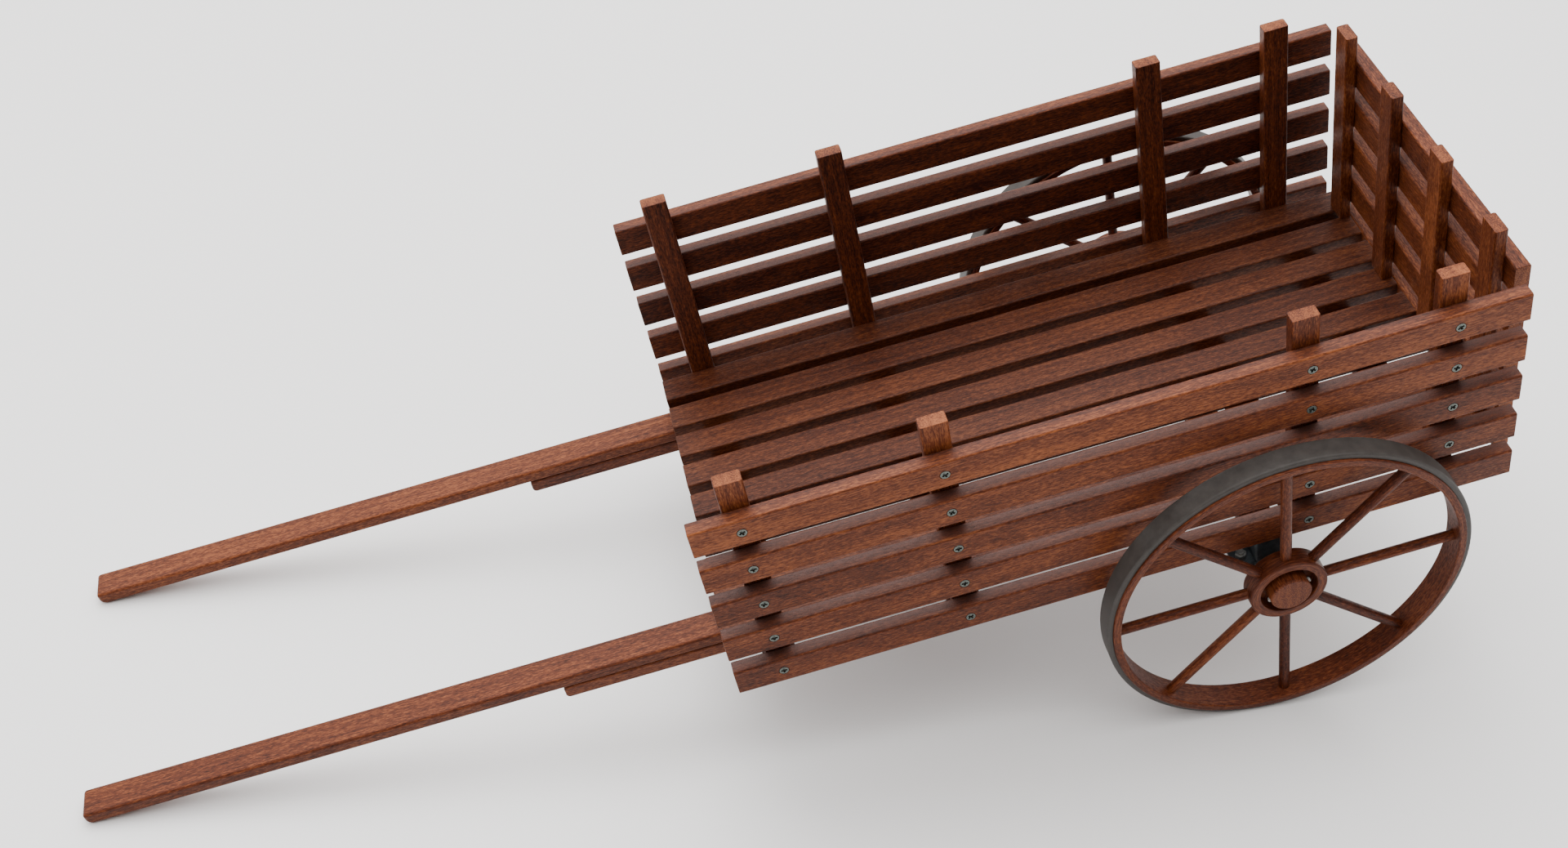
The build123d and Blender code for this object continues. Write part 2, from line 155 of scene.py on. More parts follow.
class CartColours(bpy.types.PropertyGroup):
    wood_dark: bpy.props.FloatVectorProperty(
        name="Dark wood", description="Pores and the darkest grain lines",
        subtype="COLOR", size=3, default=linear("#2a100a"))
    wood_middle: bpy.props.FloatVectorProperty(
        name="Middle wood", description="Most of the oiled hardwood",
        subtype="COLOR", size=3, default=linear("#5e2e18"))
    wood_light: bpy.props.FloatVectorProperty(
        name="Light wood", description="The palest grain lines",
        subtype="COLOR", size=3, default=linear("#945630"))
    # grey of the slats' upward faces: partly dust, partly painted sheen and painted shade
    dust: bpy.props.FloatVectorProperty(
        name="Dust", description="Grey dust that lies on the upward faces of the slats",
        subtype="COLOR", size=3, default=linear("#593f39"))
    rubber: bpy.props.FloatVectorProperty(
        name="Tyre rubber", description="The tyre bands",
        subtype="COLOR", size=3, default=linear("#3b3734"))
    floor: bpy.props.FloatVectorProperty(
        name="Floor", description="The studio floor",
        subtype="COLOR", size=3, default=linear("#f0efee"))


def sizes():
    return bpy.context.scene.cart_sizes


def colours():
    return bpy.context.scene.cart_colours


# ---- modelling by hand ------------------------------------------------------------------------------------
def only(piece):
    """Make a piece the one that is selected and active."""
    bpy.ops.object.select_all(action="DESELECT")
    piece.select_set(True)
    bpy.context.view_layer.objects.active = piece


def settle(piece):
    """Put a piece's turn, size and place into its mesh."""
    only(piece)
    bpy.ops.object.transform_apply(location=True, rotation=True, scale=True)


def pick(piece, faces=None, edges=None):
    """Enter edit mode with the faces or edges that a test chooses."""
    only(piece)
    mesh = piece.data
    bpy.ops.object.mode_set(mode="EDIT")
    bpy.ops.mesh.select_mode(type="FACE" if faces else "EDGE")
    bpy.ops.mesh.select_all(action="DESELECT")
    bpy.ops.object.mode_set(mode="OBJECT")
    if faces:
        for face in mesh.polygons:
            face.select = faces(face)
    else:
        for edge in mesh.edges:
            ends = [mesh.vertices[i].co for i in edge.vertices]
            edge.select = edges(*ends)
    bpy.ops.object.mode_set(mode="EDIT")


def done():
    bpy.ops.object.mode_set(mode="OBJECT")


def new_box(name, low, high):
    centre = (low + high) / 2
    bpy.ops.object.select_all(action="DESELECT")
    bpy.ops.mesh.primitive_cube_add(size=1, location=centre, scale=high - low)
    piece = bpy.context.object
    piece.name = name
    settle(piece)
    return piece


def new_round(name, radius, start, end, segments=96, end_radius=None):
    """A round bar from one point to another, or a cone frustum if it has an end radius."""
    along = end - start
    turn = along.to_track_quat("Z", "Y").to_euler()
    bpy.ops.object.select_all(action="DESELECT")
    bpy.ops.mesh.primitive_cone_add(
        vertices=segments, radius1=radius, radius2=radius if end_radius is None else end_radius,
        depth=along.length, location=(start + end) / 2, rotation=turn)
    piece = bpy.context.object
    piece.name = name
    settle(piece)
    return piece


def bevel(piece, chosen_edges, width, segments):
    pick(piece, edges=chosen_edges)
    bpy.ops.mesh.bevel(offset=width, offset_type="OFFSET", segments=segments, profile=0.5, affect="EDGES")
    done()


def parallel_to(axis):
    """A test for edges along one of the bed's axes."""
    def test(a, b):
        way = (b - a).normalized()
        return abs(way[axis]) > 0.999
    return test


def on_plane(axis, place, tolerance=0.01 * MM):
    """A test for edges that lie in a plane across one of the bed's axes."""
    return lambda a, b: abs(a[axis] - place) < tolerance and abs(b[axis] - place) < tolerance


def cut_away(piece, cutters):
    """Cut some tools out of a piece and throw the tools away."""
    bpy.ops.object.select_all(action="DESELECT")
    for tool in cutters:
        tool.select_set(True)
    bpy.context.view_layer.objects.active = cutters[0]
    if len(cutters) > 1:
        bpy.ops.object.join()
    only(piece)
    modifier = piece.modifiers.new("Cut", "BOOLEAN")
    modifier.operation = "DIFFERENCE"
    modifier.solver = "EXACT"
    modifier.object = cutters[0]
    bpy.ops.object.modifier_apply(modifier="Cut")
    bpy.data.objects.remove(cutters[0])


def smooth(piece, degrees=40):
    """Round the bevels' shading and keep the large faces flat."""
    only(piece)
    bpy.ops.object.shade_smooth_by_angle(angle=math.radians(degrees))
    modifier = piece.modifiers.new("Flat faces", "WEIGHTED_NORMAL")
    modifier.keep_sharp = True
    modifier.weight = 80
    bpy.ops.object.modifier_apply(modifier="Flat faces")


def join(pieces, name):
    bpy.ops.object.select_all(action="DESELECT")
    for piece in pieces:
        piece.select_set(True)
    bpy.context.view_layer.objects.active = pieces[0]
    if len(pieces) > 1:
        bpy.ops.object.join()
    pieces[0].name = name
    return pieces[0]


# ---- grain: where each point lies in the wood that its board was cut from ---------------------------------
def write_grain(piece, place_in_wood, tone, dust_and_sheen=None):
    """Store each point's place in its own wood (first number along the fibres), its tone and its grey specks,
    which are partly dust and partly painted sheen.

    The tone, which may carry painted shade, is one number for the whole piece, or a test that gives one for each
    point.
    """
    mesh = piece.data
    for name, kind in (("grain", "FLOAT_VECTOR"), ("tone", "FLOAT"), ("dust", "FLOAT")):
        mesh.attributes.new(name, kind, "POINT")
    places = []
    for vertex in mesh.vertices:
        places.extend(place_in_wood(vertex.co))
    tones = [tone(v.co) if callable(tone) else tone for v in mesh.vertices]
    dust = [dust_and_sheen(v.co) if dust_and_sheen else 0.0 for v in mesh.vertices]
    mesh.attributes["grain"].data.foreach_set("vector", places)
    mesh.attributes["tone"].data.foreach_set("value", tones)
    mesh.attributes["dust"].data.foreach_set("value", dust)


def straight_grain(axis, centre, luck):
    """Fibres along one of the bed's axes, in a board sawn from a place of its own in the log."""
    others = [i for i in range(3) if i != axis]
    shift = Vector((luck.uniform(0, 40), luck.uniform(0.05, 0.16), luck.uniform(-0.12, 0.12)))
    turn = luck.uniform(-0.4, 0.4)

    def place(point):
        across = point[others[0]] - centre[others[0]]
        through = point[others[1]] - centre[others[1]]
        return (point[axis] + shift.x,
                across * math.cos(turn) - through * math.sin(turn) + shift.y,
                across * math.sin(turn) + through * math.cos(turn) + shift.z)
    return place


def bent_grain(centre, radius, luck):
    """Fibres bent round into a hoop about the axle's line."""
    shift = Vector((luck.uniform(0, 40), luck.uniform(0.05, 0.16), luck.uniform(-0.1, 0.1)))

    def place(point):
        x, z = point.x - centre.x, point.z - centre.z
        return (math.atan2(z, x) * radius + shift.x, math.hypot(x, z) - radius + shift.y, point.y + shift.z)
    return place


def finish_piece(piece, nodes, material, tone_and_grain=None):
    """Turn a piece from the bed's axes to the shared frame's, and give it its node, body and finish."""
    if tone_and_grain:
        write_grain(piece, *tone_and_grain)
    piece.data.transform(FROM_BED)
    piece.data.materials.clear()
    piece.data.materials.append(material)
    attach(piece, BODY_OF[nodes[0]])
    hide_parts(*nodes)


# ---- materials --------------------------------------------------------------------------------------------
def add_node(material, kind, settings=None, links=None):
    """Add a shader node, set its sockets or properties, and link its inputs."""
    tree = material.node_tree
    node = tree.nodes.new(kind)
    for name, value in (settings or {}).items():
        if isinstance(name, int) or name in node.inputs:
            node.inputs[name].default_value = value
        else:
            setattr(node, name, value)
    for name, source in (links or {}).items():
        tree.links.new(source, node.inputs[name])
    return node


def new_material(name):
    material = bpy.data.materials.new(name)
    material.use_nodes = True
    material.node_tree.nodes.clear()
    return material


def set_surface(material, shader):
    add_node(material, "ShaderNodeOutputMaterial", links={"Surface": shader.outputs[0]})
    return material


def mix_colours(material, blend, amount, source, colour):
    """Blend a fixed colour into a linked one by a linked amount, and give the result's socket."""
    node = add_node(material, "ShaderNodeMix", {"data_type": "RGBA", "blend_type": blend})
    material.node_tree.links.new(amount, node.inputs[0])
    material.node_tree.links.new(source, node.inputs[6])
    node.inputs[7].default_value = colour
    return node.outputs[2]


def set_ramp(node, stops):
    """Give a colour ramp its stops as (place, colour) pairs."""
    elements = node.color_ramp.elements
    while len(elements) > 1:
        elements.remove(elements[-1])
    elements[0].position = stops[0][0]
    elements[0].color = (*stops[0][1], 1)
    for place, colour in stops[1:]:
        elements.new(place).color = (*colour, 1)


def oiled_hardwood(name, tint=(1.0, 1.0, 1.0), cross_marks=0.0, sheen=0.42):
    """Planed reddish hardwood under a wiped-on oil: long streaks, short dark pores, a soft broken sheen."""
    material = new_material(name)
    tone_colours = colours()
    place = add_node(material, "ShaderNodeAttribute", {"attribute_name": "grain"}).outputs["Vector"]
    tone = add_node(material, "ShaderNodeAttribute", {"attribute_name": "tone"}).outputs["Fac"]

    # growth rings: faint bands about 12 mm apart, drawn out along the board
    ring_place = add_node(material, "ShaderNodeMapping", {"Scale": (0.9, 1.0, 1.0)}, {"Vector": place})
    rings = add_node(material, "ShaderNodeTexWave", {
        "wave_type": "BANDS", "bands_direction": "Y", "Scale": 26.0, "Distortion": 5.5, "Detail": 2.0,
        "Detail Scale": 0.6, "Detail Roughness": 0.55}, {"Vector": ring_place.outputs[0]})
    # fibres: streaks about 2 mm wide and 60 mm long
    fibre_place = add_node(material, "ShaderNodeMapping", {"Scale": (17.0, 520.0, 520.0)}, {"Vector": place})
    fibres = add_node(material, "ShaderNodeTexNoise", {"Scale": 1.0, "Detail": 3.0, "Roughness": 0.6},
                      {"Vector": fibre_place.outputs[0]})
    # interlocked figure: golden dashes about 1.7 mm wide and 7 mm long
    dash_place = add_node(material, "ShaderNodeMapping", {"Scale": (140.0, 600.0, 600.0)}, {"Vector": place})
    dashes = add_node(material, "ShaderNodeTexNoise", {"Scale": 1.0, "Detail": 2.0, "Roughness": 0.65},
                      {"Vector": dash_place.outputs[0]})
    # broad clouds of darker and lighter wood, about 40 by 250 mm
    cloud_place = add_node(material, "ShaderNodeMapping", {"Scale": (4.0, 25.0, 25.0)}, {"Vector": place})
    clouds = add_node(material, "ShaderNodeTexNoise", {"Scale": 1.0, "Detail": 2.0, "Roughness": 0.5},
                      {"Vector": cloud_place.outputs[0]})
    # pores: open dashes about 0.7 mm wide and 5 mm long
    pore_place = add_node(material, "ShaderNodeMapping", {"Scale": (210.0, 1300.0, 1300.0)},
                          {"Vector": place})
    pores = add_node(material, "ShaderNodeTexNoise", {"Scale": 1.0, "Detail": 1.0, "Roughness": 0.5},
                     {"Vector": pore_place.outputs[0]})
    pore_mask = add_node(material, "ShaderNodeMapRange", {
        "From Min": 0.58, "From Max": 0.70, "To Min": 0.0, "To Max": 1.0}, {"Value": pores.outputs["Fac"]})

    # the dashes and fibres weigh most; the rings hardly show
    lightness = tone
    for weight, part in ((0.05, rings), (0.3, fibres), (0.54, dashes), (0.18, clouds)):
        lightness = add_node(material, "ShaderNodeMath", {"operation": "MULTIPLY_ADD", 1: weight},
                             {0: part.outputs["Fac"], 2: lightness}).outputs[0]
    ramp = add_node(material, "ShaderNodeValToRGB", links={"Fac": lightness})
    dark, middle, light = [tuple(c * t for c, t in zip(colour, tint)) for colour in (
        tone_colours.wood_dark, tone_colours.wood_middle, tone_colours.wood_light)]
    set_ramp(ramp, [(0.36, dark), (0.53, middle), (0.72, light)])
    darkening = add_node(material, "ShaderNodeMath", {"operation": "MULTIPLY", 1: 0.45},
                         {0: pore_mask.outputs[0]}).outputs[0]
    pored = mix_colours(material, "MULTIPLY", darkening, ramp.outputs["Color"], (0.32, 0.24, 0.2, 1))

    # grey specks of about 1 mm on the faces that look up: partly dust, partly painted sheen and painted shade
    specks = add_node(material, "ShaderNodeTexNoise", {"Scale": 900.0, "Detail": 2.0, "Roughness": 0.7},
                      {"Vector": place})
    speck_mask = add_node(material, "ShaderNodeMapRange", {
        "From Min": 0.36, "From Max": 0.62, "To Min": 0.35, "To Max": 1.0}, {"Value": specks.outputs["Fac"]})
    dust = add_node(material, "ShaderNodeAttribute", {"attribute_name": "dust"}).outputs["Fac"]
    dust_and_sheen_amount = add_node(material, "ShaderNodeMath", {"operation": "MULTIPLY"},
                           {0: dust, 1: speck_mask.outputs[0]}).outputs[0]
    dust_and_sheen_colour = mix_colours(material, "MIX", dust_and_sheen_amount, pored, (*tone_colours.dust, 1))

    # the oil soaks in unevenly, so the sheen breaks up with the dashes
    roughness = add_node(material, "ShaderNodeMapRange", {
        "From Min": 0.25, "From Max": 0.75, "To Min": sheen + 0.12, "To Max": sheen - 0.06},
        {"Value": dashes.outputs["Fac"]})
    relief = add_node(material, "ShaderNodeMath", {"operation": "MULTIPLY_ADD", 1: -0.8},
                      {0: pore_mask.outputs[0], 2: dashes.outputs["Fac"]}).outputs[0]
    if cross_marks:
        # chatter marks of the turning tool, about 3 mm apart across the rod
        mark_place = add_node(material, "ShaderNodeMapping", {"Scale": (330.0, 60.0, 60.0)},
                              {"Vector": place})
        marks = add_node(material, "ShaderNodeTexNoise", {"Scale": 1.0, "Detail": 1.0},
                         {"Vector": mark_place.outputs[0]})
        relief = add_node(material, "ShaderNodeMath", {"operation": "MULTIPLY_ADD", 1: cross_marks},
                          {0: marks.outputs["Fac"], 2: relief}).outputs[0]
    bump = add_node(material, "ShaderNodeBump", {"Strength": 0.6, "Distance": 0.25 * MM}, {"Height": relief})
    shader = add_node(material, "ShaderNodeBsdfPrincipled", {"IOR": 1.48, "Specular IOR Level": 0.15}, {
        "Base Color": dust_and_sheen_colour, "Roughness": roughness.outputs[0], "Normal": bump.outputs[0]})
    return set_surface(material, shader)


def worn_rubber(name):
    """Solid rubber band: dull dark grey, dusty where it rolls, with a faint satin sheen."""
    material = new_material(name)
    place = add_node(material, "ShaderNodeTexCoord").outputs["Object"]
    # scuffs and dust, patches about 15 mm across
    dust = add_node(material, "ShaderNodeTexNoise", {"Scale": 65.0, "Detail": 5.0, "Roughness": 0.62},
                    {"Vector": place})
    # moulded skin, grain about 1 mm
    skin = add_node(material, "ShaderNodeTexNoise", {"Scale": 900.0, "Detail": 2.0}, {"Vector": place})
    ramp = add_node(material, "ShaderNodeValToRGB", links={"Fac": dust.outputs["Fac"]})
    base = tuple(colours().rubber)
    set_ramp(ramp, [(0.3, tuple(c * 0.8 for c in base)), (0.72, tuple(c * 1.3 for c in base))])
    roughness = add_node(material, "ShaderNodeMapRange", {"To Min": 0.42, "To Max": 0.6},
                         {"Value": dust.outputs["Fac"]})
    bump = add_node(material, "ShaderNodeBump", {"Strength": 0.3, "Distance": 0.1 * MM},
                    {"Height": skin.outputs["Fac"]})
    shader = add_node(material, "ShaderNodeBsdfPrincipled", {"IOR": 1.5, "Specular IOR Level": 0.25}, {
        "Base Color": ramp.outputs["Color"], "Roughness": roughness.outputs[0], "Normal": bump.outputs[0]})
    return set_surface(material, shader)


def plain_metal(name, base, metallic, roughness, spread, grain_scale, bump_depth):
    """A mottled metal: patches a tone above and below its colour, rougher where it is paler."""
    material = new_material(name)
    place = add_node(material, "ShaderNodeTexCoord").outputs["Object"]
    mottle = add_node(material, "ShaderNodeTexNoise", {"Scale": grain_scale, "Detail": 4.0, "Roughness": 0.6},
                      {"Vector": place})
    ramp = add_node(material, "ShaderNodeValToRGB", links={"Fac": mottle.outputs["Fac"]})
    darker, paler = (tuple(c * tone for c in base) for tone in (1 - spread, 1 + spread))
    set_ramp(ramp, [(0.3, darker), (0.7, paler)])
    rough = add_node(material, "ShaderNodeMapRange", {"To Min": roughness - 0.1, "To Max": roughness + 0.12},
                     {"Value": mottle.outputs["Fac"]})
    bump = add_node(material, "ShaderNodeBump", {"Strength": 0.4, "Distance": bump_depth},
                    {"Height": mottle.outputs["Fac"]})
    shader = add_node(material, "ShaderNodeBsdfPrincipled", {"Metallic": metallic}, {
        "Base Color": ramp.outputs["Color"], "Roughness": rough.outputs[0], "Normal": bump.outputs[0]})
    return set_surface(material, shader)


def wood_for(node):
    """The hardwood finish that a node's material slot stands for, made once each."""
    finishes = {
        "slat_wood": ((1.0, 0.96, 0.92), 0.0),
        "stake_wood": ((0.95, 0.9, 0.85), 0.0),
        # darker tint: partly the planks' own wood, partly painted shade for the inside of the bed
        "floor_wood": ((0.5, 0.48, 0.52), 0.0),
        "shaft_wood": ((0.84, 0.79, 0.78), 0.0),
        "frame_wood": ((0.8, 0.76, 0.72), 0.0),
        # darker tint: partly painted shade on the wheels
        "wheel_wood": ((0.68, 0.6, 0.6), 0.5),
    }
    slot = SLOT_OF[node]
    tint, cross_marks = finishes[slot]
    name = f"oiled_hardwood_{slot}"
    return bpy.data.materials.get(name) or oiled_hardwood(name, tint, cross_marks)


def metal_for(slot):
    """The metal finish that a material slot stands for, made once each."""
    finishes = {
        # bright turned steel gone dull under the thumb
        "bolt_steel": ("turned_steel_bolt_steel", linear("#8e8c88"), 1.0, 0.32, 0.2, 260.0, 0.02 * MM),
        # zinc-plated screws, dulled to a grey-green
        "screw_zinc": ("dulled_zinc_plate", linear("#5b605b"), 0.85, 0.4, 0.22, 420.0, 0.03 * MM),
        # forged iron with fire scale, nearly black, with a bluish bloom
        "bracket_iron": ("scaled_forged_iron", linear("#3a3f42"), 0.6, 0.5, 0.35, 120.0, 0.3 * MM),
        # drawn steel bar, faintly rusted
        "axle_steel": ("drawn_steel_bar", linear("#5d5a57"), 0.9, 0.42, 0.25, 90.0, 0.1 * MM),
    }
    finish = finishes[slot]
    return bpy.data.materials.get(finish[0]) or plain_metal(*finish)


# ---- boards -----------------------------------------------------------------------------------------------
def screw_places():
    """For every screw: the centre of its head's face and the way its head looks, along the bed's axes."""
    places = []
    for part in loose_parts("bed_screws"):
        low, high = span_of(part)
        size = high - low
        axis = max(range(3), key=lambda i: size[i])
        middle = (low + high) / 2
        other = (axis + 1) % 3
        wide_at = [p[axis] for p in part if abs(p[other] - middle[other]) > 0.48 * size[other]]
        way = Vector((0, 0, 0))
        way[axis] = 1.0 if sum(wide_at) / len(wide_at) > middle[axis] else -1.0
        head = middle.copy()
        head[axis] = high[axis] if way[axis] > 0 else low[axis]
        places.append((head, way))
    return places


def screw_head_radius():
    low, high = span_of(loose_parts("bed_screws")[0])
    return sorted(high - low)[1] / 2


def countersinks(name, low, high, axis_across):
    """Cutting tools for the screws whose heads lie in a board's face."""
    radius = screw_head_radius() + sizes().screw_shadow
    margin = 0.5 * MM
    tools = []
    for head, way in SCREWS:
        inside = all(low[i] - margin < head[i] < high[i] + margin for i in range(3))
        if inside and abs(way[axis_across]) > 0.5:
            mouth = head + way * (0.2 * MM)
            bottom = head - way * (radius * 0.75)
            tools.append(new_round(f"{name}_tool", radius, mouth, bottom, segments=32,
                                   end_radius=radius * 0.4))
    return tools


def make_board(name, low, high, axis, long_round, end_round, toe=0.0):
    """A planed board: rounded along its length, eased round its ends, countersunk where screws show."""
    board = new_box(name, low, high)
    long_edges = parallel_to(axis)
    ends = (high[axis],) if toe else (low[axis], high[axis])
    if toe:
        for height, rounding in ((low.z, toe), (high.z, sizes().shaft_nose)):
            def front_edge(a, b, height=height):
                return on_plane(0, low.x)(a, b) and on_plane(2, height)(a, b)
            bevel(board, front_edge, rounding, 8)

        def long_edges(a, b):
            """Both side faces' outlines, round the front end and back to the tail end."""
            at_side = on_plane(1, low.y)(a, b) or on_plane(1, high.y)(a, b)
            return at_side and not on_plane(0, high.x)(a, b)
    bevel(board, long_edges, long_round, 4)

    def end_edges(a, b):
        return any(on_plane(axis, end)(a, b) for end in ends)
    bevel(board, end_edges, end_round, 2)
    thin = min(range(3), key=lambda i: (high - low)[i])
    tools = countersinks(name, low, high, thin)
    if tools:
        cut_away(board, tools)
    smooth(board)
    return board


def board_from_node(node, axis, luck, toe=0.0, long_round=None, tone=0.0, inner_painted_shade=0.0, dust=0.0):
    """Make one board in its node's place. Its face towards the bed's middle may get painted shade, its top grey
    specks that are partly dust and partly painted sheen.
    """
    low, high = bed_span(node)
    board = make_board(f"{node}_board", low, high, axis, long_round or sizes().board_edge,
                       sizes().board_end, toe)
    tone = tone + luck.uniform(-0.04, 0.04)
    middle = (low + high) / 2

    inner = min(abs(low.y), abs(high.y))
    depth = high.y - low.y

    def tone_at(point):
        """Painted shade on the half towards the bed's middle, and paler on the sawn ends."""
        at_end = min(point[axis] - low[axis], high[axis] - point[axis]) < 0.1 * MM
        inwards = abs(point.y) < abs(middle.y)
        return tone + (END_GRAIN if at_end else 0.0) + (inner_painted_shade if inwards else 0.0)

    def dust_and_sheen_at(point):
        """Most at the inner edge of the top and fading outwards: partly dust, partly painted sheen."""
        if point.z < high.z - 0.1 * MM:
            return 0.0
        return dust * (1.0 - 0.6 * (abs(point.y) - inner) / depth)
    finish_piece(board, [node], wood_for(node), (straight_grain(axis, middle, luck), tone_at, dust_and_sheen_at))


def boards_from_group(node, axis, luck, tone=0.0):
    """One piece for a node that holds several like boards, each with its own grain."""
    boards = []
    for index, part in enumerate(loose_parts(node)):
        low, high = span_of(part)
        board = make_board(f"{node}_{index}", low, high, axis, sizes().board_edge, sizes().board_end)
        place = straight_grain(axis, (low + high) / 2, luck)
        write_grain(board, place, tone + luck.uniform(-0.045, 0.045))
        boards.append(board)
    finish_piece(join(boards, f"{node}_boards"), [node], wood_for(node))


SCREWS = screw_places()
TOP_SLAT = max(bed_span(node)[1].z for node in SLOT_OF if "_side_slat_" in node)


class CART_OT_floor(bpy.types.Operator):
    """Lay the floor planks"""
    bl_idname = "cart.floor"
    bl_label = "Floor planks"

    def execute(self, context):
        luck = random.Random(11)
        planks = sorted(node for node in SLOT_OF if node.startswith("floor_plank"))
        for node in planks:
            board_from_node(node, 0, luck, tone=0.02)
        return {"FINISHED"}


class CART_OT_sides(bpy.types.Operator):
    """Set up both slatted sides with their stakes"""
    bl_idname = "cart.sides"
    bl_label = "Slatted sides"

    def execute(self, context):
        luck = random.Random(23)
        for node in sorted(SLOT_OF):
            if "_side_slat_" in node:
                # the lower slats' tops, shaded between the slats, get the full grey: painted shade and sheen as
                # well as dust
                is_top = bed_span(node)[1].z > TOP_SLAT - 1 * MM
                # the slats' faces inside the bed get painted shade
                board_from_node(node, 0, luck, inner_painted_shade=-0.1, dust=0.3 if is_top else 1.0)
            elif "_side_stake_" in node:
                # the stakes' faces inside the bed get painted shade too
                board_from_node(node, 2, luck, inner_painted_shade=-0.06)
        return {"FINISHED"}


class CART_OT_tail(bpy.types.Operator):
    """Close the tail with its slats and stakes"""
    bl_idname = "cart.tail"
    bl_label = "Slatted tail"

    def execute(self, context):
        luck = random.Random(37)
        for node in sorted(node for node in SLOT_OF if node.startswith("tail_slat")):
            board_from_node(node, 1, luck)
        boards_from_group("tail_stakes", 2, luck)
        return {"FINISHED"}


class CART_OT_shafts(bpy.types.Operator):
    """Run the shafts and bearers under the bed, with the rails and the bolster"""
    bl_idname = "cart.shafts"
    bl_label = "Shafts and underframe"

    def execute(self, context):
        luck = random.Random(41)
        for side in SIDES:
            board_from_node(f"{side}_shaft", 0, luck, toe=sizes().shaft_tip, long_round=sizes().shaft_edge)
            board_from_node(f"{side}_shaft_bearer", 0, luck, toe=BEARER_TOE)
        board_from_node("axle_bolster", 1, luck)
        boards_from_group("cross_rails", 1, luck)
        boards_from_group("outer_rails", 1, luck)
        return {"FINISHED"}


# ---- wheels -----------------------------------------------------------------------------------------------
def tunnel(piece, axis, wall):
    """Open a round piece right through its two flat ends, leaving a wall."""
    pick(piece, faces=lambda face: abs(face.normal[axis]) > 0.99)
    bpy.ops.mesh.inset(thickness=wall, use_even_offset=True)
    bpy.ops.mesh.bridge_edge_loops()
    done()


def ring_edges(radius, faces_at, tolerance=0.05 * MM):
    """A test for the round edges at one radius about the axle, on the faces at some distances across."""
    def test(a, b):
        return all(abs(math.hypot(p.x - AXLE.x, p.z - AXLE.z) - radius) < tolerance
                   and min(abs(p.y - place) for place in faces_at) < tolerance for p in (a, b))
    return test


def make_ring(name, node, inner_radius, outer_round, inner_round, segments=144):
    """A hoop of square section about the axle, with its edges rounded."""
    low, high = bed_span(node)
    radius = (high.x - low.x) / 2
    ring = new_round(name, radius, Vector((AXLE.x, low.y, AXLE.z)), Vector((AXLE.x, high.y, AXLE.z)),
                     segments)
    tunnel(ring, 1, radius - inner_radius)
    bevel(ring, ring_edges(radius, (low.y, high.y)), outer_round, 4)
    bevel(ring, ring_edges(inner_radius, (low.y, high.y), 0.4 * MM), inner_round, 3)
    return ring


def radius_inside(node):
    """The smallest distance of a node's points from the axle's line."""
    points = [TO_BED @ v.co for v in frame["nodes"][node].data.vertices]
    return min(math.hypot(p.x - AXLE.x, p.z - AXLE.z) for p in points)


